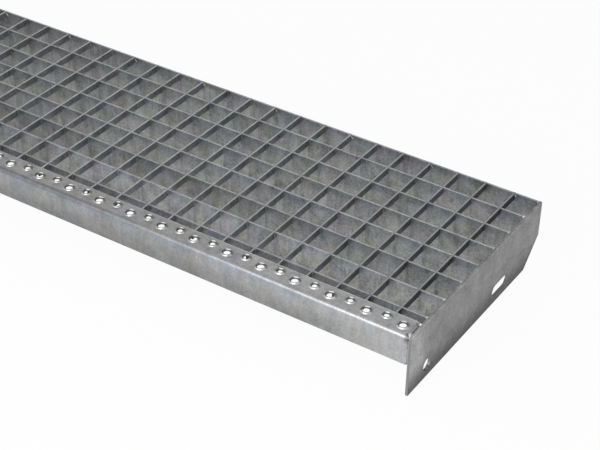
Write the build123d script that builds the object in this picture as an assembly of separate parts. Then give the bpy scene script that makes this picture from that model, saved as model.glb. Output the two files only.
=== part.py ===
from build123d import *
from math import atan2, degrees
import os

# Stair tread of pressed steel grating: flat bars on edge, a perforated front
# nosing and two bolted end plates, all welded and hot dip galvanised.
# Millimetres. X runs along the tread, the front edge faces -Y, +Z is up.
# The origin is at the middle of the length and depth, level with the bottom
# edges of the end plates.

# Overall sizes
tread_length = 800.0
tread_depth = 270.0

# End plates
plate_thickness = 3.0
plate_height = 70.0
plate_corner_cut = 29.0
plate_edge_break = 0.4

# Bolt hole and slot in each end plate
hole_diameter = 14.0
hole_from_front = 35.0
hole_from_bottom = 15.0
slot_width = 14.0
slot_length = 34.0
hole_to_slot = 150.0

# Bearing bars, which run between the end plates
bar_height = 30.0
bar_thickness = 2.0
bar_pitch = 33.333
bar_edge_break = 0.3

# Shallow front bar, the first one behind the nosing
front_bar_height = 10.0
front_slot_depth = 5.0
front_gap_least = 4.0

# Cross bars, pressed into slots in the bars above, the middle one a little off the tread's middle
cross_height = 8.3
cross_shift = 1.5
cross_thickness = 2.0
cross_pitch = 33.333
slot_clearance = 0.05

# Nosing: a bent sheet with pressed up holes
nosing_thickness = 2.5
nosing_flange = 25.6
nosing_leg = 34.0
nosing_bend_radius = 2.5
nosing_corner_radius = 5.0
nosing_end_gap = 1.2

# Rows of raised holes along the nosing: wide and narrow ones by turns
raised_pitch = 20.0
raised_first = 13.4
raised_last_least = 15.0
raised_height = 1.3
raised_mouth = 1.0
raised_lip = 0.6
raised_sides = 12
wide_opening = 7.0
wide_base = 12.3
wide_from_front = 12.2
narrow_opening = 5.0
narrow_base = 10.4
narrow_from_rear = 9.4

# Welds
weld_sides = 8
weld_taper = 40.0
bar_weld_radius = 2.3
bar_weld_length = 14.0
bar_weld_rise = 0.7
nosing_drop_radius = 2.3
nosing_drop_rise = 0.8
leg_weld_size = 3.5
leg_weld_inset = 0.4
leg_weld_short = 1.0
tack_radius = 1.7
tack_rise = 0.6
rear_tack_size = 3.5
rear_tack_height = 5.0
rear_tack_depth = 5.0
rear_tack_every = 3

# Places worked out from the sizes
top_z = plate_height
outer_x = tread_length / 2
inner_x = outer_x - plate_thickness
front_y = -tread_depth / 2
rear_y = tread_depth / 2
flange_y = front_y + nosing_flange
rear_bar_y = rear_y - bar_thickness / 2

front_bar_limit = flange_y + front_gap_least + bar_thickness / 2
bar_count = int((rear_bar_y - front_bar_limit) // bar_pitch) + 1
bar_places = [rear_bar_y - i * bar_pitch for i in reversed(range(bar_count))]

cross_count = int((2 * inner_x - cross_thickness) // cross_pitch)
cross_middle = cross_shift - (cross_count - 1) / 2 * cross_pitch
cross_places = [cross_middle + i * cross_pitch for i in range(cross_count)]

raised_count = int((2 * inner_x - raised_first - raised_last_least) // raised_pitch) + 1
raised_places = [inner_x - raised_first - i * raised_pitch for i in range(raised_count)]


def flat_bar_section(height, thickness):
    """Upright section of a flat bar with its four corners broken."""
    return chamfer(Rectangle(thickness, height).vertices(), bar_edge_break)


def long_bar(y, height):
    """Plain flat bar between the end plates, with its top level with theirs."""
    place = Plane(origin=(-inner_x, y, top_z - height / 2), x_dir=(0, 1, 0), z_dir=(1, 0, 0))
    return extrude(place * flat_bar_section(height, bar_thickness), 2 * inner_x)


def slotted_bar(y, height, slot_depth):
    """Long bar with one slot in its top edge for each cross bar."""
    bar = long_bar(y, height)
    slot = Box(
        cross_thickness + 2 * slot_clearance,
        2 * bar_thickness,
        slot_depth,
        align=(Align.CENTER, Align.CENTER, Align.MAX),
    )
    return bar - [Pos(x, y, top_z) * slot for x in cross_places]


def cross_bar(x):
    """Cross bar from the nosing to the rear face, notched over the shallow front bar."""
    place = Plane(origin=(x, flange_y, top_z - cross_height / 2), x_dir=(1, 0, 0), z_dir=(0, 1, 0))
    bar = extrude(place * flat_bar_section(cross_height, cross_thickness), rear_y - flange_y)
    notch = Box(
        2 * cross_thickness,
        bar_thickness + 2 * slot_clearance,
        cross_height,
        align=(Align.CENTER, Align.CENTER, Align.MAX),
    )
    return bar - Pos(x, bar_places[0], top_z - front_slot_depth) * notch


def end_plate(side):
    """End plate on one side, -1 left and 1 right, with its bolt hole and slot."""
    outline = Polyline(
        (front_y, 0),
        (rear_y - plate_corner_cut, 0),
        (rear_y, plate_corner_cut),
        (rear_y, plate_height),
        (front_y, plate_height),
        close=True,
    )
    hole_y = front_y + hole_from_front
    hole = Pos(hole_y, hole_from_bottom) * Circle(hole_diameter / 2)
    slot = Pos(hole_y + hole_to_slot, hole_from_bottom) * SlotOverall(slot_length, slot_width)
    start_x = inner_x if side > 0 else -outer_x
    place = Plane(origin=(start_x, 0, 0), x_dir=(0, 1, 0), z_dir=(1, 0, 0))
    plate = extrude(place * make_face(outline), plate_thickness)
    outer_face = plate.faces().sort_by(Axis.X)[-1 if side > 0 else 0]
    plate = chamfer(outer_face.edges(), plate_edge_break)
    return plate - extrude(place * (hole + slot), plate_thickness)


def nosing_sheet():
    """Bent sheet, a little short of both end plates: a front leg and a level flange."""
    half_length = inner_x - nosing_end_gap
    outer = Rectangle(nosing_flange, nosing_leg, align=(Align.MIN, Align.MAX))
    inside = Rectangle(nosing_flange, nosing_leg, align=(Align.MIN, Align.MAX))
    section = outer - Pos(nosing_thickness, -nosing_thickness) * inside
    bend_outside = section.vertices().sort_by_distance((0, 0))[0]
    section = fillet(bend_outside, nosing_bend_radius + nosing_thickness)
    bend_inside = section.vertices().sort_by_distance((nosing_thickness, -nosing_thickness))[0]
    section = fillet(bend_inside, nosing_bend_radius)
    place = Plane(origin=(-half_length, front_y, top_z), x_dir=(0, 1, 0), z_dir=(1, 0, 0))
    sheet = extrude(place * section, 2 * half_length)
    corners = sheet.edges().filter_by(Axis.Z).group_by(Axis.Y)[-1]
    return fillet(corners, nosing_corner_radius)


def tapered_plug(low_z, low_radius, high_z, high_radius):
    """Tapered plug between two heights, with as many sides as so small a rim needs."""
    height = high_z - low_z
    lean = degrees(atan2(low_radius - high_radius, height))
    return Pos(0, 0, low_z) * extrude(RegularPolygon(low_radius, raised_sides), height, taper=lean)


def raised_rim(opening, base):
    """Outside of one raised hole, from its base on the sheet up to its lip."""
    return tapered_plug(0, base / 2, raised_height, opening / 2 + raised_mouth + raised_lip)


def raised_opening(opening, base):
    """Space through one raised hole, wider at its mouth and its underside than at its throat."""
    throat = opening / 2
    below = tapered_plug(-nosing_thickness, base / 2, 0, throat)
    funnel = tapered_plug(-raised_height, throat + raised_mouth, 0, throat)
    return below + mirror(funnel, about=Plane.XY)


def nosing():
    """Nosing sheet with its row of raised holes, wide and narrow by turns."""
    kinds = [
        (wide_opening, wide_base, front_y + wide_from_front),
        (narrow_opening, narrow_base, flange_y - narrow_from_rear),
    ]
    rims = [raised_rim(opening, base) for opening, base, _ in kinds]
    openings = [raised_opening(opening, base) for opening, base, _ in kinds]
    places = [Pos(x, kinds[i % 2][2], top_z) for i, x in enumerate(raised_places)]
    sheet = nosing_sheet() + [place * rims[i % 2] for i, place in enumerate(places)]
    return sheet - [place * openings[i % 2] for i, place in enumerate(places)]


def weld_drop(radius, rise):
    """Low drop of weld that stands on the plane Z = 0."""
    return extrude(RegularPolygon(radius, weld_sides), rise, taper=weld_taper)


def weld_space():
    """Space between the end plates and between the front and rear faces."""
    return Box(2 * inner_x, tread_depth, 4 * plate_height)


def bar_end_weld(side, y, height):
    """Weld round the end of one long bar: a bead down both sides and a drop on its top."""
    length = min(bar_weld_length, height)
    bead = extrude(RegularPolygon(bar_weld_radius, weld_sides), -length)
    weld = bead + weld_drop(bar_weld_radius, bar_weld_rise)
    return (Pos(side * inner_x, y, top_z) * weld & weld_space()) - long_bar(y, height)


def bar_welds(side):
    """All the long bars' welds at one end plate."""
    heights = [front_bar_height] + [bar_height] * (bar_count - 1)
    return Compound(children=[
        bar_end_weld(side, y, height).solid() for y, height in zip(bar_places, heights)
    ])


def nosing_top_welds(side):
    """Two drops that bridge the gap between the flange and one end plate."""
    centre_x = side * (inner_x - nosing_end_gap / 2)
    front_end = front_y + nosing_thickness + nosing_bend_radius + nosing_drop_radius
    rear_end = flange_y - nosing_corner_radius
    drop = weld_drop(nosing_drop_radius, nosing_drop_rise)
    return [(Pos(centre_x, y, top_z) * drop).solid() for y in (front_end, rear_end)]


def nosing_leg_weld(side):
    """Weld that fills the gap between the nosing's leg and one end plate, and its fillet."""
    gap_x = side * (inner_x - nosing_end_gap)
    face_y = front_y + leg_weld_inset
    corner_y = front_y + nosing_thickness
    outline = Polyline(
        (side * inner_x, face_y),
        (gap_x, face_y),
        (gap_x, corner_y),
        (side * (inner_x - leg_weld_size), corner_y),
        (side * inner_x, corner_y + leg_weld_size),
        close=True,
    )
    top = top_z - nosing_thickness - nosing_bend_radius - leg_weld_short
    foot = top_z - nosing_leg + leg_weld_short
    return Pos(0, 0, foot) * extrude(make_face(outline), top - foot, dir=(0, 0, 1))


def nosing_weld(side):
    """All the welds between the nosing and one end plate."""
    return Compound(children=nosing_top_welds(side) + [nosing_leg_weld(side).solid()])


def rear_tack(x):
    """Small fillet in the corner between one cross bar and the rear bar."""
    corner_x = x + cross_thickness / 2
    corner_y = rear_y - bar_thickness
    outline = Polyline(
        (corner_x, corner_y),
        (corner_x + rear_tack_size, corner_y),
        (corner_x, corner_y - rear_tack_size),
        close=True,
    )
    foot = top_z - rear_tack_depth - rear_tack_height / 2
    return Pos(0, 0, foot) * extrude(make_face(outline), rear_tack_height, dir=(0, 0, 1))


def tack_welds():
    """Drops where the cross bars meet the nosing, and fillets at every third one's rear end."""
    drop = weld_drop(tack_radius, tack_rise)
    front = [(Pos(x, flange_y, top_z) * drop).solid() for x in cross_places]
    rear = [rear_tack(x).solid() for x in cross_places[::-rear_tack_every]]
    return Compound(children=front + rear)


def build_parts():
    """All the pieces by name."""
    parts = {
        "end_plate_left": end_plate(-1),
        "end_plate_right": end_plate(1),
        "nosing": nosing(),
        "front_bar": slotted_bar(bar_places[0], front_bar_height, front_slot_depth),
        "rear_bar": slotted_bar(bar_places[-1], bar_height, cross_height),
    }
    for number, y in enumerate(bar_places[1:-1], start=1):
        parts[f"bearing_bar_{number}"] = slotted_bar(y, bar_height, cross_height)
    for number, x in enumerate(cross_places, start=1):
        parts[f"cross_bar_{number:02d}"] = cross_bar(x)
    for side, name in ((-1, "left"), (1, "right")):
        parts[f"bar_welds_{name}"] = bar_welds(side)
        parts[f"nosing_weld_{name}"] = nosing_weld(side)
    parts["tack_welds"] = tack_welds()
    return parts


os.makedirs("parts", exist_ok=True)
for name, shape in build_parts().items():
    export_step(shape, f"parts/{name}.step")
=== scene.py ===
"""Looks of a galvanised grating stair tread: zinc finishes, pressed holes, welds and a studio.

Metres. X runs along the tread, its front edge faces -Y, +Z is up.
"""

import math

import bpy
import numpy as np
from mathutils import Matrix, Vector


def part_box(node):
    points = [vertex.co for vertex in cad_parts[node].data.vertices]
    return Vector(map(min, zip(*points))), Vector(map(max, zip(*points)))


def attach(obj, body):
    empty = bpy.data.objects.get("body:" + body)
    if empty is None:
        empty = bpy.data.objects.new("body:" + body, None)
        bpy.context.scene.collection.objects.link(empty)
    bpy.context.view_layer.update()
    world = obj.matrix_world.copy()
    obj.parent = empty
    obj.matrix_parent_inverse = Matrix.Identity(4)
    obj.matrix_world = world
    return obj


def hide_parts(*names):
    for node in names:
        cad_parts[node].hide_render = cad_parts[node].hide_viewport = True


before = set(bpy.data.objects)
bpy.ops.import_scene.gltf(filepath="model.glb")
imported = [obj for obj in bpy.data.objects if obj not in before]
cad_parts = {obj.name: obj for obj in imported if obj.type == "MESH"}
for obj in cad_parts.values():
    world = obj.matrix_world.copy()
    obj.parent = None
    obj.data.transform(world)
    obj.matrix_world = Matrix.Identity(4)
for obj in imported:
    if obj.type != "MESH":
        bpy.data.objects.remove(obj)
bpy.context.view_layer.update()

bl_info = {
    "name": "Grating stair tread",
    "version": (1, 0, 0),
    "blender": (4, 5, 0),
    "location": "3D View > Sidebar > Tread",
    "description": "Zinc finishes, pressed nosing holes and welds of a grating stair tread",
    "category": "Object",
}

MM = 0.001
EDGE = 0.4 * MM  # rounding of the nosing's edges
LEAST_LAST = 15.0 * MM  # least distance from the last raised hole to the left end plate
TILE_SIDE = 12  # points along each side of a raised hole's tile
HOLE_SCATTER = 0.12 * MM  # how far the raised holes stray from their row
THROAT_DEPTH = 0.3 * MM  # how far a throat lies under the flange's top
CREST_SHARE = 0.22  # place of a rim's lip between its throat and its base
FLARE = 1.25  # power by which a raised hole widens below its throat
HIGHLIGHT_WAY = math.radians(-75)  # way the painted highlight on the rims faces: front, a little right
HIGHLIGHT_GAIN, SIDE_SHADE = 0.75, 0.6  # painted highlight on steep rim fronts, painted shade elsewhere
MOUTH_SHADE, FRONT_MOUTH_SHADE = 0.64, 0.1  # painted shade that a mouth takes all round and more at its front
CAP_HIGHLIGHT = 4.0  # painted highlight on a lip's rear
LUMPINESS = 0.10  # share of a weld bead's radius that its lumps and ripples add or take
REAR_TACK_EVERY = 3  # cross bars from one tack at the rear bar to the next
HOLLOW = 0.36  # share of its legs that a zinc fillet keeps in the middle
TIP_SHADE = 0.4  # painted shade on the cross bars' ends under the flange
SHADE_NAME = "shade"  # the attribute that holds the shade of each point
DARKEST = 0.15  # least shade of a zinc finish
RELIEF = 0.12 * MM  # depth of the zinc's bumps
WARM_GREY = (1.0, 1.0, 0.965, 1)  # cast low on the bars, multiplied into the zinc's colour
BLUE_GREY = (0.95, 1.0, 1.05, 1)  # cast at the bars' tops
REFLECTED_BLUE_GREY = (0.94, 0.99, 1.06, 1)  # painted bluish reflection on the nosing's bend
WHITE = (1, 1, 1, 1)
WELD_SHARP = 60.0  # degrees between faces from which a weld's edge is sharp

NOSING_LOW, NOSING_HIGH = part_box("nosing")
PLATE_LOW, PLATE_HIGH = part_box("end_plate_right")
TOP_Z = PLATE_HIGH.z
INNER_X = PLATE_LOW.x
FRONT_Y = PLATE_LOW.y
LONG_BARS = ["front_bar", *[f"bearing_bar_{n}" for n in range(1, 7)], "rear_bar"]
CROSS_BARS = [f"cross_bar_{n:02d}" for n in range(1, 24)]
CROSS_X = [(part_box(name)[0].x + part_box(name)[1].x) / 2 for name in CROSS_BARS]
BAR_Y = [(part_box(name)[0].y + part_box(name)[1].y) / 2 for name in LONG_BARS]


def length(name, description, default):
    """A size in metres that the sidebar shows in the scene's unit."""
    return bpy.props.FloatProperty(
        name=name, description=description, default=default, min=0.0,
        precision=5, subtype="DISTANCE", unit="LENGTH")


def share(name, description, default):
    """A share from 0 to 1."""
    return bpy.props.FloatProperty(
        name=name, description=description, default=default, min=0.0, max=1.0, subtype="FACTOR")


def colour(name, description, default):
    """A plain colour without alpha."""
    return bpy.props.FloatVectorProperty(
        name=name, description=description, default=default, min=0.0, max=1.0,
        size=3, subtype="COLOR")


class TreadSizes(bpy.types.PropertyGroup):
    """Sizes of the nosing, its raised holes and the welds."""
    sheet: length("Nosing sheet", "Thickness of the nosing's sheet", 2.5 * MM)
    bend: length("Bend radius", "Outer radius of the nosing's bend", 5.0 * MM)
    corner: length("Flange corner", "Corner radius of the flange's rear ends", 5.0 * MM)
    pitch: length("Hole pitch", "Distance between raised holes along the nosing", 20.0 * MM)
    first: length("First hole", "From the right end plate to the first hole", 13.4 * MM)
    rise: length("Rim height", "Height of the rims above the flange", 1.3 * MM)
    lip: length("Rim lip", "Width of a rim's lip", 0.6 * MM)
    wide: length("Wide opening", "Throat of the wide holes", 7.0 * MM)
    wide_base: length("Wide base", "Diameter of a wide hole's base", 12.8 * MM)
    wide_back: length("Wide row", "From the front face to the wide holes", 12.2 * MM)
    narrow: length("Narrow opening", "Throat of the narrow holes", 5.3 * MM)
    narrow_base: length("Narrow base", "Diameter of a narrow hole's base", 11.4 * MM)
    narrow_back: length("Narrow row", "From the front face to the narrow holes", 16.2 * MM)
    weld: length("Weld size", "Radius of the welds at the bar ends", 2.1 * MM)
    tip: length("Bar ends", "From the front face to the cross bars' ends", 20.5 * MM)


class TreadFinish(bpy.types.PropertyGroup):
    """Colours and gloss of the zinc."""
    zinc: colour("Zinc", "Colour of the zinc coat", (0.308, 0.31, 0.311))
    bright: colour("Bright zinc", "Colour of the zinc on welds and worn edges", (0.52, 0.53, 0.53))
    gloss: share("Roughness", "Roughness of the zinc coat", 0.42)
    metal: share("Metallic", "How metallic the zinc coat is", 0.85)


class TreadStudio(bpy.types.PropertyGroup):
    """Floor, lamps and camera."""
    lens: bpy.props.FloatProperty(
        name="Lens", description="Focal length of the camera", default=96.23, min=10.0,
        subtype="DISTANCE_CAMERA", unit="CAMERA")
    floor: colour("Floor", "Colour of the floor", (0.9, 0.9, 0.9))
    ambient: share("Ambient", "Strength of the even light from all round", 0.5)
    key: bpy.props.FloatProperty(
        name="Key lamp", description="Power of the large lamp in front", default=16.5, min=0.0,
        unit="POWER")


# Node helpers

def add_node(tree, kind, inputs=None, **options):
    """Adds a node, sets its options, then links or sets its inputs."""
    node = tree.nodes.new(kind)
    for name, value in options.items():
        setattr(node, name, value)
    for key, value in (inputs or {}).items():
        if isinstance(value, bpy.types.NodeSocket):
            tree.links.new(value, node.inputs[key])
        else:
            node.inputs[key].default_value = value
    return node


def maths(tree, operation, a, b=0.0):
    """Result of one Math node."""
    return add_node(tree, "ShaderNodeMath", {0: a, 1: b}, operation=operation).outputs[0]


def product(tree, first, *others):
    """Product of all the values."""
    for other in others:
        first = maths(tree, "MULTIPLY", first, other)
    return first


def spared(tree, *shares):
    """1 less the product of the shares."""
    return maths(tree, "SUBTRACT", 1.0, product(tree, *shares))


def axes_of(tree, vector):
    """X, Y and Z of a vector."""
    return tuple(add_node(tree, "ShaderNodeSeparateXYZ", {0: vector}).outputs)


def blend(tree, kind, factor, a, b):
    """Result of one Mix node on colours, whose inputs are 6 and 7 and whose output is 2."""
    node = add_node(tree, "ShaderNodeMix", {0: factor, 6: a, 7: b},
                    data_type="RGBA", blend_type=kind)
    return node.outputs[2]


def steps(tree, value, low, high, start=0.0, end=1.0):
    """A value carried smoothly from low..high to start..end."""
    return add_node(tree, "ShaderNodeMapRange", {0: value, 1: low, 2: high, 3: start, 4: end},
                    interpolation_type="SMOOTHSTEP").outputs[0]


def noise(tree, vector, scale, detail=2.0, rough=0.5, distortion=0.0):
    """A Noise Texture node on a vector."""
    return add_node(tree, "ShaderNodeTexNoise", {
        "Vector": vector, "Scale": scale, "Detail": detail, "Roughness": rough,
        "Distortion": distortion})


def mapped(tree, vector, scale=(1, 1, 1), move=(0, 0, 0)):
    """The vector moved and stretched by a Mapping node."""
    return add_node(tree, "ShaderNodeMapping", {
        "Vector": vector, "Scale": scale, "Location": move}).outputs[0]


def arrange(tree):
    """Sets the nodes out in columns, each to the right of the nodes that feed it."""
    depth = {node.name: 0 for node in tree.nodes}
    for _ in range(len(tree.nodes)):
        for link in tree.links:
            depth[link.to_node.name] = max(depth[link.to_node.name],
                                           depth[link.from_node.name] + 1)
    used = {}
    for node in tree.nodes:
        column = depth[node.name]
        node.location = (column * 220, -used.get(column, 0) * 260)
        used[column] = used.get(column, 0) + 1


def new_group(name, inputs, outputs):
    """A node group with named sockets, its input node and its output node."""
    kinds = {"value": "NodeSocketFloat", "vector": "NodeSocketVector", "colour": "NodeSocketColor"}
    tree = bpy.data.node_groups.new(name, "ShaderNodeTree")
    for label, kind, default in inputs:
        socket = tree.interface.new_socket(label, in_out="INPUT", socket_type=kinds[kind])
        if default is not None:
            socket.default_value = default
    for label, kind in outputs:
        tree.interface.new_socket(label, in_out="OUTPUT", socket_type=kinds[kind])
    return tree, tree.nodes.new("NodeGroupInput"), tree.nodes.new("NodeGroupOutput")


def zinc_coat_group():
    """Patches, streaks and tints of a dipped zinc coat.

    Shade is about 1, darker and lighter by clouds of two sizes and by runs along Z.
    Tint is a near white colour that drifts mostly between blue and yellow.
    Grain is a fine value for gloss, and Relief a mixture of sizes for the bump.
    """
    tree, given, result = new_group("Zinc coat", [
        ("Coordinates", "vector", None), ("Cloud", "value", 0.35), ("Streak", "value", 0.3),
        ("Speckle", "value", 0.25), ("Tint", "value", 0.25)],
        [("Shade", "value"), ("Tint", "colour"), ("Grain", "value"), ("Relief", "value")])
    place = given.outputs["Coordinates"]
    upright = mapped(tree, place, (1, 1, 0.16), (0.3, 0.1, 0))
    clouds = noise(tree, place, 55.0, 3.0, 0.55, 0.6).outputs[0]
    runs = noise(tree, upright, 190.0, 3.0, 0.6).outputs[0]
    speckle = noise(tree, place, 420.0, 2.0, 0.6).outputs[0]
    noise_to_shade = 3.0
    shade = 1.0
    for value, amount in ((clouds, "Cloud"), (runs, "Streak"), (speckle, "Speckle")):
        off = maths(tree, "MULTIPLY", maths(tree, "SUBTRACT", value, 0.5), noise_to_shade)
        shade = maths(tree, "ADD", product(tree, off, given.outputs[amount]), shade)
    drift = noise(tree, mapped(tree, place, (1, 1, 0.6), (0.7, 0.2, 0.4)), 42.0, 4.0, 0.62, 0.3)

    def vector_maths(operation, vector, sockets):
        """Result of one Vector Math node."""
        return add_node(tree, "ShaderNodeVectorMath", {0: vector, **sockets},
                        operation=operation).outputs[0]

    off_grey = vector_maths("SUBTRACT", drift.outputs[1], {1: (0.5, 0.5, 0.5)})
    mostly_blue = vector_maths("MULTIPLY", off_grey, {1: (1.0, 0.6, 1.7)})
    scaled = vector_maths("SCALE", mostly_blue, {3: given.outputs["Tint"]})
    tint = vector_maths("ADD", scaled, {1: (1, 1, 1)})
    grain = noise(tree, place, 900.0, 3.0, 0.6).outputs[0]
    relief = maths(tree, "ADD", maths(tree, "MULTIPLY", grain, 0.35),
                   maths(tree, "ADD", maths(tree, "MULTIPLY", speckle, 0.6), runs))
    for label, value in (("Shade", shade), ("Tint", tint), ("Grain", grain), ("Relief", relief)):
        tree.links.new(value, result.inputs[label])
    arrange(tree)
    return tree


def wear_and_sheen_top_group():
    """Mask of the top edges, bright for wear and a painted highlight: 1 at the level Top, fading
    to 0 at Depth below it.
    """
    tree, given, result = new_group("Top wear and sheen", [
        ("Coordinates", "vector", None), ("Top", "value", 0.07), ("Depth", "value", 0.0006)],
        [("Mask", "value")])
    height = axes_of(tree, given.outputs["Coordinates"])[2]
    start = maths(tree, "SUBTRACT", given.outputs["Top"], given.outputs["Depth"])
    tree.links.new(steps(tree, height, start, given.outputs["Top"]), result.inputs["Mask"])
    arrange(tree)
    return tree


def zinc_material(name, finish, groups, amounts, level=1.0, wear_and_sheen=0.0, shading=None,
                  roughness=None, cool=0.0, cast=(1.0, 1.0, 1.0), blue_reflection=None):
    """A zinc finish: the coat's colour by its shade and tint, brighter on the tops for wear and a
    painted highlight.

    Amounts are the coat's clouds, streaks, speckle and tint. Level and the function shading
    multiply the shade. The share of bright zinc on the top edges stands for wear and a painted
    highlight. Cool is the share of a drift from warm grey low on the bars to blue grey at their
    tops. Cast is multiplied into the zinc's colour, and the last function gives the share of a
    painted bluish reflection at each place.
    """
    material = bpy.data.materials.new(name)
    material.use_nodes = True
    tree = material.node_tree
    shader = tree.nodes["Principled BSDF"]
    place = add_node(tree, "ShaderNodeTexCoord").outputs["Object"]
    coat = add_node(tree, "ShaderNodeGroup", node_tree=groups["coat"])
    for label, amount in zip(("Cloud", "Streak", "Speckle", "Tint"), amounts):
        coat.inputs[label].default_value = amount
    tree.links.new(place, coat.inputs["Coordinates"])
    shade = coat.outputs["Shade"]
    if shading:
        shade = shading(tree, place, shade)
    shade = maths(tree, "MAXIMUM", maths(tree, "MULTIPLY", shade, level), DARKEST)
    zinc = [part * drift for part, drift in zip(finish.zinc, cast)]
    paint = blend(tree, "MULTIPLY", 1.0, (*zinc, 1), coat.outputs["Tint"])
    if cool:
        upper = steps(tree, axes_of(tree, place)[2], TOP_Z - 22.0 * MM, TOP_Z - 2.0 * MM)
        drift = blend(tree, "MIX", upper, WARM_GREY, BLUE_GREY)
        paint = blend(tree, "MULTIPLY", cool, paint, drift)
    if blue_reflection:
        # painted bluish reflection
        bluish = blend(tree, "MIX", blue_reflection(tree, place), WHITE, REFLECTED_BLUE_GREY)
        paint = blend(tree, "MULTIPLY", 1.0, paint, bluish)
    grey = add_node(tree, "ShaderNodeCombineColor", {0: shade, 1: shade, 2: shade}).outputs[0]
    paint = blend(tree, "MULTIPLY", 1.0, paint, grey)
    # bright zinc on the top edges: wear and a painted highlight
    if wear_and_sheen:
        edges = add_node(tree, "ShaderNodeGroup", node_tree=groups["wear_and_sheen"])
        edges.inputs["Top"].default_value = TOP_Z - 0.1 * MM
        tree.links.new(place, edges.inputs["Coordinates"])
        amount = maths(tree, "MULTIPLY", edges.outputs["Mask"], wear_and_sheen)
        paint = blend(tree, "MIX", amount, paint, (*finish.bright, 1))
    tree.links.new(paint, shader.inputs["Base Color"])
    gloss = finish.gloss if roughness is None else roughness
    smoothest, roughest = gloss - 0.08, gloss + 0.10
    tree.links.new(steps(tree, coat.outputs["Grain"], 0.3, 0.7, smoothest, roughest),
                   shader.inputs["Roughness"])
    shader.inputs["Metallic"].default_value = finish.metal
    bump = add_node(tree, "ShaderNodeBump", {
        "Strength": 0.6, "Distance": RELIEF, "Height": coat.outputs["Relief"]})
    tree.links.new(bump.outputs[0], shader.inputs["Normal"])
    arrange(tree)
    return material


def plate_shading(tree, place, shade):
    """Painted shade towards the plate's bottom edge and on its top, painted light at its front.

    The edge between the outer face and the top carries a painted highlight: both the distance
    from the middle and the height must be near their greatest. Below the top, the narrow faces
    between the plate's two sides get painted light, such as the walls of its holes.
    """
    x, y, z = axes_of(tree, place)
    ripple = noise(tree, place, 90.0, 2.0).outputs[0]
    height = maths(tree, "ADD", z, maths(tree, "MULTIPLY", ripple, 8.0 * MM))
    # painted shade towards the bottom edge
    low = steps(tree, height, 3.0 * MM, 37.0 * MM, 0.16, 1.0)
    # painted shade on the top
    high = steps(tree, z, TOP_Z - 0.4 * MM, TOP_Z - 0.1 * MM, 1.0, 0.92)
    # painted light towards the front
    front = steps(tree, y, FRONT_Y, FRONT_Y + 45.0 * MM, 1.75, 1.0)
    out = maths(tree, "ABSOLUTE", x)
    outer = steps(tree, out, PLATE_HIGH.x - 1.1 * MM, PLATE_HIGH.x - 0.5 * MM)
    upper = steps(tree, z, TOP_Z - 1.0 * MM, TOP_Z - 0.4 * MM)
    # painted highlight on the edge between the outer face and the top
    edge_highlight = maths(tree, "ADD", product(tree, outer, upper, 0.35), 1.0)
    face = product(tree, shade, low, high, front, edge_highlight)
    # painted light on the narrow faces between the two sides, such as the holes' walls
    inside = steps(tree, out, PLATE_HIGH.x - 0.3 * MM, PLATE_HIGH.x - 0.1 * MM, 1.0, 0.0)
    below = steps(tree, z, TOP_Z - 3.0 * MM, TOP_Z - 1.0 * MM, 1.0, 0.0)
    wall = product(tree, inside, below)
    wall_shade = 1.2
    return maths(tree, "ADD", maths(tree, "MULTIPLY", wall, wall_shade),
                 product(tree, face, spared(tree, wall)))


def nosing_shading(tree, place, shade):
    """Painted light towards the right end, painted shade down the leg and from the bend's top on.

    The flange gets painted light over the bend's top, less so at its right end, and has darker
    patches. Painted shade darkens the ends beside the welds on the bend and the bend's left half.
    The flange's rear edge carries a painted highlight, most in its right half. Last comes the
    shade stored at the points.
    """
    x, y, z = axes_of(tree, place)
    # painted light towards the right end, painted shade down the leg
    along = steps(tree, x, 0.0, 0.42, 0.95, 1.2)
    foot = steps(tree, x, 0.27, 0.38, 0.76, 1.08)
    chest = steps(tree, x, 0.27, 0.38, 1.08, 1.12)
    leg = steps(tree, z, NOSING_LOW.z, NOSING_LOW.z + 26.0 * MM, foot, chest)
    # painted shade from the top of the bend on, painted light on the flange
    band = steps(tree, z, TOP_Z - 2.2 * MM, TOP_Z - 1.2 * MM, 1.0, 0.76)
    level = steps(tree, x, 0.26, 0.34, 1.14, 1.03)
    flange = steps(tree, z, TOP_Z - 0.3 * MM, TOP_Z - 0.05 * MM, 1.0, level)
    # painted highlight on the flange's rear edge
    rear_glint = steps(tree, x, 0.06, 0.10, 1.08, 1.5)
    edge = steps(tree, y, NOSING_HIGH.y - 1.6 * MM, NOSING_HIGH.y - 0.6 * MM, 1.0, rear_glint)
    moved = mapped(tree, place, (1, 1, 1), (0.4, 0, 0))
    patches = steps(tree, noise(tree, moved, 85.0, 4.0, 0.6, 0.5).outputs[0], 0.50, 0.66, 0.0, 0.2)
    stained = spared(tree, patches, steps(tree, z, TOP_Z - 0.6 * MM, TOP_Z - 0.2 * MM))
    # painted shade at the ends beside the welds on the bend
    weld_end_shade = spared(
        tree,
        steps(tree, maths(tree, "ABSOLUTE", x), NOSING_HIGH.x - 5.5 * MM,
              NOSING_HIGH.x - 2.0 * MM, 0.0, 0.6),
        steps(tree, y, FRONT_Y + 3.0 * MM, FRONT_Y + 7.0 * MM, 1.0, 0.3),
        steps(tree, z, TOP_Z - 10.0 * MM, TOP_Z - 4.0 * MM))
    # painted shade over the bend's left half
    left_bend_shade = spared(
        tree,
        steps(tree, x, -0.03, 0.12, 0.3, 0.0),
        steps(tree, y, FRONT_Y + 2.2 * MM, FRONT_Y + 4.8 * MM, 1.0, 0.0),
        steps(tree, z, TOP_Z - 6.5 * MM, TOP_Z - 3.2 * MM))
    shade = product(tree, shade, along, leg, band, flange, edge, stained, weld_end_shade, left_bend_shade)
    return own_shade(tree, place, shade)


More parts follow.
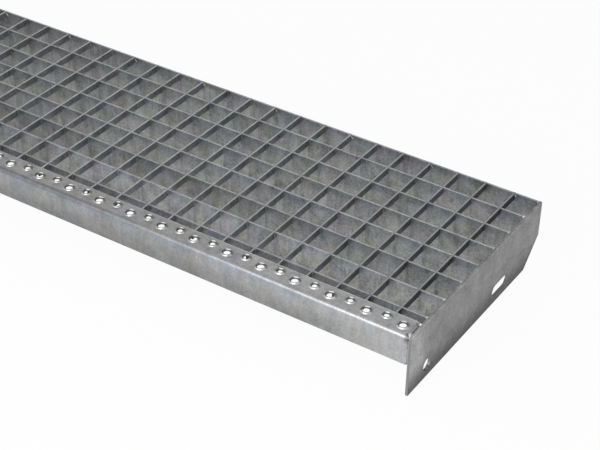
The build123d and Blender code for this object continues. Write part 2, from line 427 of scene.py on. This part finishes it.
def bend_blue_reflection(tree, place):
    """The share of a painted bluish reflection on the nosing.

    It is full from the top of the leg to half way over the bend, less towards the right end.
    """
    x, _, z = axes_of(tree, place)
    above = steps(tree, z, TOP_Z - 13.0 * MM, TOP_Z - 7.0 * MM)
    under = steps(tree, z, TOP_Z - 2.6 * MM, TOP_Z - 0.4 * MM, 1.0, 0.0)
    left = steps(tree, x, 0.2, 0.4, 1.0, 0.2)
    return product(tree, left, above, under)


def own_shade(tree, place, shade):
    """The shade times the one stored at the piece's points; the place plays no part."""
    stored = add_node(tree, "ShaderNodeAttribute", attribute_name=SHADE_NAME).outputs["Fac"]
    return product(tree, shade, stored)


def crossing_stains_and_shadows(tree, place, shade):
    """Dark irregular marks on the long bars just right of each cross bar: zinc stains and a
    painted shadow of the cross bar.

    The distance from the last cross bar is X modulo the pitch. The mark fades out over a
    third of the pitch, broken up by noise. Thin drips run down the bars, and a few smudges
    lie on them. Painted shade darkens the bars near their tops and towards the left, and the
    front bar under the nosing. The third bar and the right half of the rear bar are darker
    than the others.
    """
    x, y, z = axes_of(tree, place)
    pitch = CROSS_X[1] - CROSS_X[0]
    spare = 20 * pitch  # keeps what the modulo is taken of above 0
    moved = maths(tree, "SUBTRACT", x, CROSS_X[0] - spare)
    part = maths(tree, "MODULO", moved, pitch)
    torn = noise(tree, mapped(tree, place, (1, 1, 0.35)), 160.0, 3.0, 0.6).outputs[0]
    reach = maths(tree, "ADD", part, maths(tree, "MULTIPLY", torn, 16.0 * MM))
    # painted shadow of the cross bar, mixed with zinc stains
    stain_and_shadow = steps(tree, reach, 6.0 * MM, 19.0 * MM, 0.78, 1.0)
    # painted shade near the bars' tops
    upper = steps(tree, z, TOP_Z - 11.0 * MM, TOP_Z - 2.0 * MM, 1.0, 0.87)
    # painted shade on the front bar under the nosing
    front = steps(tree, y, BAR_Y[0] + 3.0 * MM, BAR_Y[0] + 6.0 * MM, 0.81, 1.0)
    aft = steps(tree, x, 0.1, 0.3, 1.0, 0.86)
    rear = steps(tree, y, BAR_Y[-1] - 12.0 * MM, BAR_Y[-1] - 6.0 * MM, 1.0, aft)
    upright = mapped(tree, place, (1, 1, 0.13), (0.2, 0, 0.5))
    drips = steps(tree, noise(tree, upright, 230.0, 2.0, 0.5).outputs[0], 0.56, 0.70, 1.0, 0.82)
    tall = mapped(tree, place, (1, 1, 0.5), (0.6, 0.1, 0))
    smudges = steps(tree, noise(tree, tall, 120.0, 3.0, 0.6).outputs[0], 0.58, 0.72, 1.0, 0.62)
    # painted shade towards the left
    left = steps(tree, x, -0.12, -0.04, 0.87, 1.0)
    off_third = maths(tree, "ABSOLUTE", maths(tree, "SUBTRACT", y, BAR_Y[2]))
    third = steps(tree, off_third, 8.0 * MM, 16.0 * MM, 0.84, 1.0)
    return product(tree, shade, stain_and_shadow, upper, front, rear, drips, smudges, left, third)


def cross_shading(tree, place, shade):
    """Painted light on the cross bars towards the tread's left, painted shade towards its right.
    """
    return product(tree, shade, steps(tree, axes_of(tree, place)[0], 0.06, 0.35, 1.22, 0.74))


# Meshes

def grid_faces(rows, columns, wrap=False):
    """Quads between neighbours in a grid of points numbered row by row; wrap joins its sides."""
    i, j = np.meshgrid(np.arange(rows - 1), np.arange(columns if wrap else columns - 1),
                       indexing="ij")
    k = (j + 1) % columns
    corners = [i * columns + j, i * columns + k, (i + 1) * columns + k, (i + 1) * columns + j]
    return np.stack(corners, -1).reshape(-1, 4)


class Skin:
    """Points and faces of one piece, added grid by grid, with a shade for each point."""

    def __init__(self):
        self.points = []
        self.shades = []
        self.faces = []
        self.count = 0

    def add(self, points, faces, shades=None):
        """Adds points and the faces between them, given as lists of point numbers."""
        points = np.asarray(points, float).reshape(-1, 3)
        self.points.append(points)
        self.shades.append(np.ones(len(points)) if shades is None else shades.reshape(-1))
        self.faces.extend([corner + self.count for corner in face] for face in faces)
        self.count += len(points)

    def add_grid(self, points, wrap=False, shades=None):
        """Adds a grid of points, rows first."""
        rows, columns = points.shape[:2]
        self.add(points, grid_faces(rows, columns, wrap).tolist(), shades)

    def add_fan(self, points):
        """Adds one flat face through the points."""
        self.add(points, [list(range(len(points)))])


def make_piece(name, skin, material, replaced, sharp=35.0):
    """Makes the mesh object: joins equal points, turns faces outwards, shades it smooth."""
    mesh = bpy.data.meshes.new(name)
    mesh.from_pydata(np.concatenate(skin.points).tolist(), [], skin.faces)
    shade = mesh.attributes.new(SHADE_NAME, "FLOAT", "POINT")
    shade.data.foreach_set("value", np.concatenate(skin.shades).astype(np.float32))
    piece = bpy.data.objects.new(name, mesh)
    bpy.context.scene.collection.objects.link(piece)
    bpy.ops.object.select_all(action="DESELECT")
    piece.select_set(True)
    bpy.context.view_layer.objects.active = piece
    bpy.ops.object.mode_set(mode="EDIT")
    bpy.ops.mesh.select_all(action="SELECT")
    bpy.ops.mesh.remove_doubles(threshold=1e-6)
    bpy.ops.mesh.normals_make_consistent(inside=False)
    bpy.ops.object.mode_set(mode="OBJECT")
    mesh.shade_smooth()
    mesh.set_sharp_from_angle(angle=math.radians(sharp))
    mesh.materials.append(material)
    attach(piece, "root")
    if replaced:
        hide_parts(*replaced)


def rim_profile(opening, base, sizes):
    """Radius and height of a raised hole from the sheet's top, over the lip, to its underside.

    The outside rises from the sheet to the lip as a half wave of a cosine. The lip's middle
    lies half its width and CREST_SHARE of the base's excess outside the throat. A quarter
    ellipse carries the mouth down to the throat, a little below the sheet's top. Below it the
    bore widens by the power FLARE of its depth.
    """
    throat = opening / 2
    crest = throat + (base - opening) * CREST_SHARE + sizes.lip / 2
    throat_z = -THROAT_DEPTH
    t = np.linspace(0, 1, 11)
    up = np.stack([base / 2 + (crest - base / 2) * t,
                   sizes.rise * (1 - np.cos(math.pi * t)) / 2], -1)
    turn = np.linspace(0, math.pi / 2, 9)[1:]
    over = np.stack([throat + (crest - throat) * (1 - np.sin(turn)),
                     throat_z + (sizes.rise - throat_z) * np.cos(turn)], -1)
    deep = np.linspace(0, 1, 6)[1:]
    down = np.stack([throat + (base / 2 + THROAT_DEPTH - throat) * deep ** FLARE,
                     throat_z - (sizes.sheet + throat_z) * deep], -1)
    return np.concatenate([up, over, down])


def rim_shades(profile, angle):
    """Shade of each point on a raised hole, as profile points by points round.

    How steep the profile is counts from 0 on the flat to 1 upright. Steep places that face the
    front get a painted highlight, and those that face any other way get painted shade. The
    mouth gets painted shade all round, most at the front. The lip gets a painted highlight at
    the rear.
    """
    along = np.gradient(profile, axis=0)
    steep = np.abs(along[:, 1]) / np.hypot(along[:, 0], along[:, 1])
    crest = int(np.argmax(profile[:, 1]))
    past = (np.arange(len(profile)) - crest)[:, None]
    front = np.cos(angle - HIGHLIGHT_WAY)
    facing = np.clip((front - 0.1) / 0.4, 0, 1)[None]
    # painted highlight on steep places facing the front, painted shade on the others
    outer = 1 + steep[:, None] * (facing * HIGHLIGHT_GAIN - (1 - facing) * SIDE_SHADE)
    inside = np.clip((past + 1.5) / 2, 0, 1)
    # painted shade in the mouth, most at the front
    mouth_darkening = 1 - inside * (MOUTH_SHADE + FRONT_MOUTH_SHADE * np.clip(front, 0, 1))
    # painted highlight on the lip's rear
    cap = np.clip(1.3 - np.abs(past - 0.5) / 2.5, 0, 1) * np.clip((-front - 0.78) / 0.18, 0, 1)
    return mouth_darkening * np.where(past <= 0, outer, 1) * (1 - cap) + CAP_HIGHLIGHT * cap


def hole_tiles(sizes, centres_x, y_low, y_high, rng):
    """Points and shades of one tile of flange round each raised hole, rings by points round.

    The outermost ring is the tile's square border, TILE_SIDE points a side. The rings inside
    it go over to a circle along straight lines, follow the rim's profile up, over and down
    through the sheet, and go back out to the same border on the underside.
    """
    side = np.linspace(0, 1, TILE_SIDE + 1)[:-1]
    one, nil = np.ones(TILE_SIDE), np.zeros(TILE_SIDE)
    u = np.concatenate([side, one, 1 - side, nil])
    v = np.concatenate([nil, side, one, 1 - side])
    kinds = [(sizes.wide, sizes.wide_base, FRONT_Y + sizes.wide_back),
             (sizes.narrow, sizes.narrow_base, FRONT_Y + sizes.narrow_back)]
    share_out = np.linspace(1, 0, 6)[:-1, None, None]
    tiles = []
    for number, centre_x in enumerate(centres_x):
        opening, base, centre_y = kinds[number % 2]
        border = np.stack([centre_x + (u - 0.5) * sizes.pitch, y_low + v * (y_high - y_low)], -1)
        centre = np.array([centre_x, centre_y]) + rng.normal(0, HOLE_SCATTER, 2)
        away = border - centre
        angle = np.arctan2(away[:, 1], away[:, 0])
        turn = rng.uniform(0, 2 * math.pi, 4)
        uneven = 1 + 0.02 * np.cos(2 * angle + turn[0]) + 0.012 * np.cos(3 * angle + turn[1])
        lift = 1 - 0.04 * (1 + np.cos(angle + turn[2])) * rng.uniform(0.3, 1)
        profile = rim_profile(opening, base, sizes)
        radius, height = profile[:, :1], profile[:, 1:]
        direction = np.stack([np.cos(angle), np.sin(angle)], -1)
        rings = centre + direction[None] * (radius * uneven)[..., None]
        heights = np.where(height > 0, height * lift, height)
        walls = np.concatenate([rings, heights[..., None]], -1)
        flat = border * share_out + rings[0] * (1 - share_out)
        top = np.concatenate([flat, np.zeros((*flat.shape[:2], 1))], -1)
        back = share_out[::-2]
        under_flat = border * back + rings[-1] * (1 - back)
        under = np.concatenate([under_flat, np.full((*under_flat.shape[:2], 1), -sizes.sheet)], -1)
        shades = np.concatenate([np.ones(top.shape[:2]), rim_shades(profile, angle),
                                 np.ones(under.shape[:2])])
        tiles.append((np.concatenate([top, walls, under]), shades))
    return tiles


def round_corners(points, end_x, y_high, radius):
    """Rounds the flange's rear corners, seen from above.

    Inside the square of the corner radius, a point at (u, v) goes to (u, v) times its larger
    share over its distance from the corner's centre, so the square's sides become an arc.
    """
    for sign in (-1, 1):
        u = (sign * points[:, 0] - (end_x - radius)) / radius
        v = (points[:, 1] - (y_high - radius)) / radius
        inside = (u > 0) & (v > 0)
        scale = np.ones(len(points))
        scale[inside] = np.maximum(u, v)[inside] / np.hypot(u, v)[inside]
        points[:, 0] = np.where(inside, sign * (end_x - radius + u * scale * radius), points[:, 0])
        points[:, 1] = np.where(inside, y_high - radius + v * scale * radius, points[:, 1])
    return points


def nosing_skin(sizes):
    """The whole nosing: tiles round the holes, bend, leg, edges and closed ends.

    All strips share the tiles' columns, so equal points join. The section is the outer line
    from the flange's rear edge over the bend and down the leg, and the inner line back.
    """
    rng = np.random.default_rng(5)
    skin = Skin()
    end_x = NOSING_HIGH.x
    y_high = NOSING_HIGH.y
    foot_z = NOSING_LOW.z - TOP_Z
    y_bend = FRONT_Y + sizes.bend
    first = INNER_X - sizes.first
    count = int((2 * INNER_X - sizes.first - LEAST_LAST) // sizes.pitch) + 1
    centres = first - sizes.pitch * np.arange(count)
    for tile, shades in hole_tiles(sizes, centres, y_bend, y_high - EDGE, rng):
        skin.add_grid(tile, wrap=True, shades=shades)

    right = centres[0] + sizes.pitch / 2
    left = centres[-1] - sizes.pitch / 2
    middle = np.linspace(left, right, TILE_SIDE * count + 1)
    left_columns = np.linspace(-end_x + EDGE, left, 8)
    right_columns = np.linspace(right, end_x - EDGE, 3)
    columns = np.concatenate([left_columns[:-1], middle, right_columns[1:]])
    rows = np.linspace(y_bend, y_high - EDGE, TILE_SIDE + 1)
    for ends in (left_columns, right_columns):
        for level in (0.0, -sizes.sheet):
            x, y = np.meshgrid(ends, rows, indexing="ij")
            skin.add_grid(np.stack([x, y, np.full(x.shape, level)], -1))

    turn = np.linspace(0, math.pi / 2, 9)
    inner = sizes.bend - sizes.sheet
    outer_arc = np.stack([y_bend - sizes.bend * np.sin(turn),
                          -sizes.bend + sizes.bend * np.cos(turn)], -1)
    inner_arc = np.stack([y_bend - inner * np.sin(turn), -sizes.bend + inner * np.cos(turn)], -1)
    leg_z = np.linspace(-sizes.bend, foot_z + EDGE, 11)[1:]
    leg_out = np.stack([np.full(len(leg_z), FRONT_Y), leg_z], -1)
    leg_in = np.stack([np.full(len(leg_z), FRONT_Y + sizes.sheet), leg_z], -1)
    half = np.linspace(0, math.pi / 2, 4)
    rise, run = EDGE * np.sin(half), EDGE * np.cos(half)
    low, back = foot_z + EDGE, y_high - EDGE
    foot = np.concatenate([np.stack([FRONT_Y + EDGE - run, low - rise], -1),
                           np.stack([FRONT_Y + sizes.sheet - EDGE + rise, low - run], -1)])
    rear = np.concatenate([np.stack([back + rise, -EDGE + run], -1),
                           np.stack([back + run, -sizes.sheet + EDGE - rise], -1)])

    def strip(section):
        """Adds a section in Y and Z carried along all the columns."""
        x = np.broadcast_to(columns[None, :, None], (len(section), len(columns), 1))
        yz = np.broadcast_to(section[:, None, :], (len(section), len(columns), 2))
        skin.add_grid(np.concatenate([x, yz], -1))

    for section in (np.concatenate([outer_arc, leg_out]), np.concatenate([inner_arc, leg_in]),
                    foot, rear):
        strip(section)

    def at(line, x):
        """A line in Y and Z, set at one X."""
        return np.concatenate([np.full((len(line), 1), x), line], -1)

    flange = np.stack([rows[::-1], np.zeros(len(rows))], -1)
    outer_line = np.concatenate([flange, outer_arc[1:], leg_out])
    inner_line = np.concatenate([flange - [0, sizes.sheet], inner_arc[1:], leg_in])
    middle_line = (outer_line + inner_line) / 2
    inset = 2 * EDGE / sizes.sheet
    near = outer_line + (middle_line - outer_line) * inset
    far = inner_line + (middle_line - inner_line) * inset
    for sign in (-1, 1):
        x, cap_x = sign * (end_x - EDGE), sign * end_x
        skin.add_grid(np.stack([at(outer_line, x), at(near, cap_x), at(far, cap_x),
                                at(inner_line, x)]))
        for line, start in ((rear, 0), (foot, -1)):
            skin.add_fan(np.concatenate([at(line, x), at(far[[start]], cap_x),
                                         at(near[[start]], cap_x)]))
    points = round_corners(np.concatenate(skin.points), end_x, y_high, sizes.corner)
    points[:, 2] += TOP_Z
    skin.points = [points]
    return skin


def bead(start, end, radius, rng, rings=12, around=12):
    """Points of a closed lumpy bead from start to end, rings by points round.

    Each ring is a circle about the line, as large as a blunt ellipse along it allows, with
    ripples along the run and random lumps. The first and last rings shrink to poles.
    """
    start, end = np.asarray(start, float), np.asarray(end, float)
    run = end - start
    size = np.linalg.norm(run)
    ahead = run / size
    side = np.cross(ahead, [1.0, 0, 0] if abs(ahead[0]) < 0.9 else [0, 1.0, 0])
    side /= np.linalg.norm(side)
    up = np.cross(side, ahead)
    t = np.linspace(-math.pi / 2, math.pi / 2, rings)
    along = (size / 2 + radius) * np.sin(t)
    wide = radius * np.cos(t) ** 0.6
    ripple = LUMPINESS * np.sin(along / (0.45 * radius) + rng.uniform(0, 6))
    angle = np.linspace(0, 2 * math.pi, around, endpoint=False)
    lump = 1 + LUMPINESS * rng.normal(0, 1, (rings, around)).clip(-1.5, 1.5)
    lump = (lump + np.roll(lump, 1, 1) + np.roll(lump, -1, 1)) / 3
    reach = (wide * (1 + ripple))[:, None] * lump
    points = ((start + end) / 2 + along[:, None, None] * ahead
              + (reach * np.cos(angle))[..., None] * side
              + (reach * np.sin(angle))[..., None] * up)
    points[0] = points[0].mean(0)
    points[-1] = points[-1].mean(0)
    return points


def add_bead(skin, points, shade=1.0):
    """Adds a closed bead; its end rings close to a point when equal points join."""
    skin.add_grid(points, wrap=True, shades=np.full(points.shape[:2], shade))


def bar_weld_skin(sizes, side):
    """Beads down both sides of every long bar's end, and a drop on its top."""
    rng = np.random.default_rng(11 if side > 0 else 12)
    skin = Skin()
    wall_x = side * INNER_X
    for number, y in enumerate(BAR_Y):
        depth = 9.0 * MM if number == 0 else 13.0 * MM
        last = number == len(BAR_Y) - 1
        for way in (-1,) if last else (-1, 1):
            x, across = wall_x - side * 0.3 * MM, y + way * 1.3 * MM
            add_bead(skin, bead((x, across, TOP_Z - 1.6 * MM), (x, across, TOP_Z - depth),
                                rng.uniform(0.6, 0.75) * sizes.weld, rng, 16))
        x, top_y = wall_x - side * 1.0 * MM, y - (0.9 * MM if last else 0)
        low = TOP_Z - 0.8 * MM
        # the drop on top gets a random shade, mostly above 1: a painted highlight
        add_bead(skin, bead((x, top_y - 0.2 * MM, low), (x, top_y + 0.2 * MM, low),
                            rng.uniform(0.5, 0.75) * sizes.weld, rng, 9),
                 rng.uniform(0.7, 1.9))
    return skin


def nosing_weld_skin(sizes, side):
    """Welds between the nosing and an end plate.

    In order they are a drop at the flange's rear corner, one in the gap beside it, one on the
    bend, a bead down the leg's gap and a bead in the leg's inner corner.
    """
    rng = np.random.default_rng(21 if side > 0 else 22)
    skin = Skin()
    gap_x = (INNER_X + NOSING_HIGH.x) / 2
    near, at_gap, on_flange = side * (INNER_X - 1.0 * MM), side * gap_x, side * (gap_x - 2.6 * MM)
    corner = NOSING_HIGH.y - sizes.corner
    gap_y, inside = FRONT_Y + 1.3 * MM, FRONT_Y + sizes.sheet + 0.5 * MM
    low, foot = TOP_Z - sizes.bend - 1.0 * MM, NOSING_LOW.z + 1.6 * MM
    # The last number is the shade: painted shade on the two drops at the corner, a painted
    # highlight on the drop on the bend and painted light on the bead in the leg's gap
    beads = (
        ((on_flange, corner - 0.8 * MM, TOP_Z - 0.9 * MM),
         (on_flange - side * 0.6 * MM, corner + 0.6 * MM, TOP_Z - 0.9 * MM), 1.45, 12, 0.45),
        ((at_gap, corner - 1.0 * MM, TOP_Z - 2.4 * MM),
         (at_gap, corner + 0.4 * MM, TOP_Z - 2.6 * MM), 1.4, 12, 0.4),
        ((near - side * 0.8 * MM, FRONT_Y + 5.2 * MM, TOP_Z - 1.3 * MM),
         (near, FRONT_Y + 3.0 * MM, TOP_Z - 2.6 * MM), 2.0, 12, 1.6),
        ((at_gap, gap_y, low), (at_gap, gap_y, foot), 0.95, 40, 1.5),
        ((near, inside, TOP_Z - 9.0 * MM), (near, inside, TOP_Z - 30.0 * MM), 2.0, 26, 1.0))
    for start, end, radius, rings, shade in beads:
        add_bead(skin, bead(start, end, radius * MM, rng, rings), shade)
    return skin


def tack_skin():
    """Small drops where the cross bars meet the nosing's rear edge, and blobs at the rear bar.

    The blobs lie in the corners to the right of the cross bars, REAR_TACK_EVERY bars apart,
    counted from the right end.
    """
    rng = np.random.default_rng(31)
    skin = Skin()
    y = NOSING_HIGH.y + 0.3 * MM
    for x in CROSS_X:
        radius = rng.uniform(0.9, 1.6) * MM
        low = TOP_Z - 0.75 * radius
        add_bead(skin, bead((x - 0.2 * MM, y, low), (x + 0.4 * MM, y, low), radius, rng, 8, 10))
    y = BAR_Y[-1] - 0.85 * MM
    for x in CROSS_X[::-REAR_TACK_EVERY]:
        radius = rng.uniform(1.25, 1.4) * MM
        add_bead(skin, bead((x + 1.6 * MM, y, TOP_Z - 2.4 * MM),
                            (x + 3.6 * MM, y, TOP_Z - 4.6 * MM), radius, rng), 0.75)
    return skin


def corner_fillet_skin():
    """Little zinc fillets in the corners of the mesh.

    Each is an upright prism, almost as deep as the cross bar. Its section runs from the corner
    along both bars, and its open side is hollowed to HOLLOW of both legs.
    """
    rng = np.random.default_rng(41)
    low, high = TOP_Z - 7.6 * MM, TOP_Z - 0.15 * MM
    half_bar = 1.0 * MM
    spots = np.array([(x, y, way_x, way_y) for x in CROSS_X for y in BAR_Y
                      for way_x in (-1, 1) for way_y in ((-1,) if y == BAR_Y[-1] else (-1, 1))])
    legs = rng.uniform(0.5, 1.1, (len(spots), 2)) * MM
    section = np.array([(-0.2, -0.2), (1, -0.2), (1, 0), (HOLLOW, HOLLOW), (0, 1), (-0.2, 1)])
    plan = section[None] * legs[:, None, :]
    x = spots[:, 0:1] + spots[:, 2:3] * (half_bar + plan[..., 0])
    y = spots[:, 1:2] + spots[:, 3:4] * (half_bar + plan[..., 1])
    size = len(section)
    around = range(size)
    faces = [[*around][::-1], [size + i for i in around]]
    faces += [[i, (i + 1) % size, size + (i + 1) % size, size + i] for i in around]
    skin = Skin()
    lower = np.stack([x, y, np.full(x.shape, low)], -1)
    upper = np.stack([x, y, np.full(x.shape, high)], -1)
    for under, over in zip(lower, upper):
        skin.add(np.concatenate([under, over]), faces)
    return skin


def bar_tip_skin(sizes):
    """The ends of the cross bars under the flange, which show through some of its holes.

    Each is a plain bar as wide as the cross bar, from its front end on to sizes.tip behind the
    front face, and from its lower edge up to the underside of the flange.
    """
    skin = Skin()
    corner = np.array([(0, 0, 0), (1, 0, 0), (1, 1, 0), (0, 1, 0),
                       (0, 0, 1), (1, 0, 1), (1, 1, 1), (0, 1, 1)], float)
    faces = [(3, 2, 1, 0), (4, 5, 6, 7), (0, 1, 5, 4), (1, 2, 6, 5), (2, 3, 7, 6), (3, 0, 4, 7)]
    overlap = 0.5 * MM
    for name in CROSS_BARS:
        bar_low, bar_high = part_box(name)
        low = np.array([bar_low.x, FRONT_Y + sizes.tip, bar_low.z])
        high = np.array([bar_high.x, NOSING_HIGH.y + overlap, TOP_Z - sizes.sheet])
        skin.add(low + corner * (high - low), faces, np.full(len(corner), TIP_SHADE))
    return skin


# Operators

def zinc_groups():
    """The shared node groups, made once."""
    return {"coat": bpy.data.node_groups.get("Zinc coat") or zinc_coat_group(),
            "wear_and_sheen": bpy.data.node_groups.get("Top wear and sheen") or wear_and_sheen_top_group()}


def dress(names, material):
    """Gives CAD nodes one material."""
    for name in names:
        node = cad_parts[name]
        if not node.material_slots:
            node.data.materials.append(material)
        for place in node.material_slots:
            place.material = material


class TREAD_OT_bars(bpy.types.Operator):
    """Gives the long bars and the cross bars their zinc"""
    bl_idname = "tread.bars"
    bl_label = "Bars"

    def execute(self, context):
        finish = context.scene.tread_finish
        groups = zinc_groups()
        dress(LONG_BARS, zinc_material(
            "Zinc on long bars", finish, groups, (0.46, 0.13, 0.4, 0.3), level=0.985, wear_and_sheen=0.22,
            shading=crossing_stains_and_shadows, cool=1.0))
        # painted shade: the cross bars get a lower level than the long bars
        dress(CROSS_BARS, zinc_material(
            "Zinc on cross bars", finish, groups, (0.34, 0.3, 0.4, 0.26), level=0.72, wear_and_sheen=0.3,
            shading=cross_shading, cool=1.0))
        return {"FINISHED"}


class TREAD_OT_plates(bpy.types.Operator):
    """Gives the end plates their zinc"""
    bl_idname = "tread.plates"
    bl_label = "End plates"

    def execute(self, context):
        dress(["end_plate_left", "end_plate_right"], zinc_material(
            "Zinc on end plates", context.scene.tread_finish, zinc_groups(),
            (0.4, 0.1, 0.42, 0.02), level=0.69, shading=plate_shading,
            cast=(1.005, 1.0, 0.995)))
        return {"FINISHED"}


class TREAD_OT_nosing(bpy.types.Operator):
    """Forms the nosing with its raised holes"""
    bl_idname = "tread.nosing"
    bl_label = "Nosing"

    def execute(self, context):
        scene = context.scene
        material = zinc_material(
            "Zinc on nosing", scene.tread_finish, zinc_groups(), (0.2, 0.16, 0.2, 0.18),
            shading=nosing_shading, roughness=0.36, cast=(1.0, 1.0, 0.996), blue_reflection=bend_blue_reflection)
        make_piece("nosing_sheet", nosing_skin(scene.tread_sizes), material,
                   ["nosing"])
        return {"FINISHED"}


class TREAD_OT_welds(bpy.types.Operator):
    """Forms the welds, the zinc in the corners and the cross bars' ends"""
    bl_idname = "tread.welds"
    bl_label = "Welds"

    def execute(self, context):
        scene = context.scene
        sizes = scene.tread_sizes
        finish, groups = scene.tread_finish, zinc_groups()
        material = zinc_material("Zinc on welds", finish, groups, (0.2, 0.1, 0.3, 0.05),
                                 shading=own_shade)
        for side, name in ((-1, "left"), (1, "right")):
            make_piece(f"bar_end_beads_{name}", bar_weld_skin(sizes, side), material,
                       [f"bar_welds_{name}"], WELD_SHARP)
            make_piece(f"nosing_beads_{name}", nosing_weld_skin(sizes, side), material,
                       [f"nosing_weld_{name}"], WELD_SHARP)
        make_piece("tack_drops", tack_skin(), material,
                   ["tack_welds"], WELD_SHARP)
        # painted shade: the zinc fillets in the corners and the cross bars' ends get half the
        # level
        shaded_zinc = zinc_material("Zinc with painted shade", finish, groups, (0.26, 0.2, 0.3, 0.1),
                             level=0.5, shading=own_shade)
        make_piece("zinc_fillets", corner_fillet_skin(), shaded_zinc, [])
        make_piece("cross_bar_tips", bar_tip_skin(sizes), shaded_zinc, [])
        return {"FINISHED"}


def seen_ray(tree):
    """1 for camera, glossy and transmission rays, 0 for light on the object."""
    path = add_node(tree, "ShaderNodeLightPath")
    both = maths(tree, "MAXIMUM", path.outputs["Is Camera Ray"], path.outputs["Is Glossy Ray"])
    return maths(tree, "MAXIMUM", both, path.outputs["Is Transmission Ray"])


def make_floor(studio):
    """A wide pale floor that is seen as white and keeps a soft shadow of the tread."""
    reach, drop, whiteness = 12.0, 0.2 * MM, 0.95
    mesh = bpy.data.meshes.new("floor")
    mesh.from_pydata([(-reach, -reach, 0), (reach, -reach, 0), (reach, reach, 0),
                      (-reach, reach, 0)], [], [(0, 1, 2, 3)])
    floor = bpy.data.objects.new("floor", mesh)
    bpy.context.scene.collection.objects.link(floor)
    floor.location.z = -drop
    material = bpy.data.materials.new("Pale floor")
    material.use_nodes = True
    tree = material.node_tree
    tree.nodes.remove(tree.nodes["Principled BSDF"])
    matt = add_node(tree, "ShaderNodeBsdfDiffuse", {"Color": (*studio.floor, 1)})
    white = add_node(tree, "ShaderNodeEmission", {"Color": WHITE, "Strength": 1.0})
    amount = maths(tree, "MULTIPLY", seen_ray(tree), whiteness)
    mixed = add_node(tree, "ShaderNodeMixShader", {0: amount, 1: matt.outputs[0],
                                                   2: white.outputs[0]})
    tree.links.new(mixed.outputs[0], tree.nodes["Material Output"].inputs[0])
    arrange(tree)
    mesh.materials.append(material)


def make_lamp(name, place, target, width, height, power):
    """A soft rectangular lamp that points at the target."""
    data = bpy.data.lights.new(name, "AREA")
    data.shape = "RECTANGLE"
    data.size, data.size_y = width, height
    data.energy = power
    lamp = bpy.data.objects.new(name, data)
    bpy.context.scene.collection.objects.link(lamp)
    back = np.array(place) - np.array(target)
    back /= np.linalg.norm(back)
    side = np.cross([0, 0, 1.0], back)
    side /= np.linalg.norm(side)
    turned = np.eye(4)
    turned[:3, 0], turned[:3, 1], turned[:3, 2] = side, np.cross(back, side), back
    turned[:3, 3] = place
    lamp.matrix_world = Matrix(turned.tolist())
    lamp.visible_camera = False


class TREAD_OT_studio(bpy.types.Operator):
    """Sets up the floor, the lamps, the surroundings and the camera"""
    bl_idname = "tread.studio"
    bl_label = "Studio"

    def execute(self, context):
        scene = context.scene
        studio = scene.tread_studio
        make_floor(studio)
        make_lamp("key_lamp", place=(0.32, -1.35, 0.78), target=(0.1, 0, 0.03),
                  width=1.5, height=1.05, power=studio.key)
        world = bpy.data.worlds.new("Studio")
        world.use_nodes = True
        tree = world.node_tree
        strength = maths(tree, "ADD", maths(
            tree, "MULTIPLY", seen_ray(tree), 1.0 - studio.ambient), studio.ambient)
        backdrop = tree.nodes["Background"]
        backdrop.inputs["Color"].default_value = WHITE
        tree.links.new(strength, backdrop.inputs["Strength"])
        arrange(tree)
        scene.world = world
        scene.view_settings.view_transform = "Standard"
        data = bpy.data.cameras.new("camera")
        data.lens = studio.lens
        data.sensor_width = 36.0
        data.clip_start, data.clip_end = 0.05, 60.0
        camera = bpy.data.objects.new("camera", data)
        scene.collection.objects.link(camera)
        # Fitted to the bar crossings in the photo, in the tread's own frame
        camera.matrix_world = Matrix((
            (0.8365, -0.3284, 0.4387, 0.9249),
            (0.5477, 0.4737, -0.6897, -1.1558),
            (0.0187, 0.8172, 0.5761, 1.0001),
            (0, 0, 0, 1)))
        scene.camera = camera
        return {"FINISHED"}


class TREAD_PT_panel(bpy.types.Panel):
    """Sidebar panel with the tread's sizes, finishes and steps"""
    bl_idname = "TREAD_PT_panel"
    bl_label = "Stair tread"
    bl_space_type = "VIEW_3D"
    bl_region_type = "UI"
    bl_category = "Tread"

    def draw(self, context):
        layout = self.layout
        for group in (context.scene.tread_sizes, context.scene.tread_finish,
                      context.scene.tread_studio):
            box = layout.box()
            for name in group.__annotations__:
                box.prop(group, name)
        for operator in OPERATORS:
            layout.operator(operator.bl_idname)


OPERATORS = (TREAD_OT_bars, TREAD_OT_plates, TREAD_OT_nosing, TREAD_OT_welds, TREAD_OT_studio)
CLASSES = (TreadSizes, TreadFinish, TreadStudio, *OPERATORS, TREAD_PT_panel)


def register():
    """Registers the classes and hangs the properties on the scene."""
    for one in CLASSES:
        bpy.utils.register_class(one)
    bpy.types.Scene.tread_sizes = bpy.props.PointerProperty(type=TreadSizes)
    bpy.types.Scene.tread_finish = bpy.props.PointerProperty(type=TreadFinish)
    bpy.types.Scene.tread_studio = bpy.props.PointerProperty(type=TreadStudio)


def unregister():
    """Takes the properties and the classes away again."""
    del bpy.types.Scene.tread_studio
    del bpy.types.Scene.tread_finish
    del bpy.types.Scene.tread_sizes
    for one in reversed(CLASSES):
        bpy.utils.unregister_class(one)


def main():
    """Registers everything and runs the steps in order."""
    register()
    bpy.ops.tread.bars()
    bpy.ops.tread.plates()
    bpy.ops.tread.nosing()
    bpy.ops.tread.welds()
    bpy.ops.tread.studio()


if __name__ == "__main__":
    main()
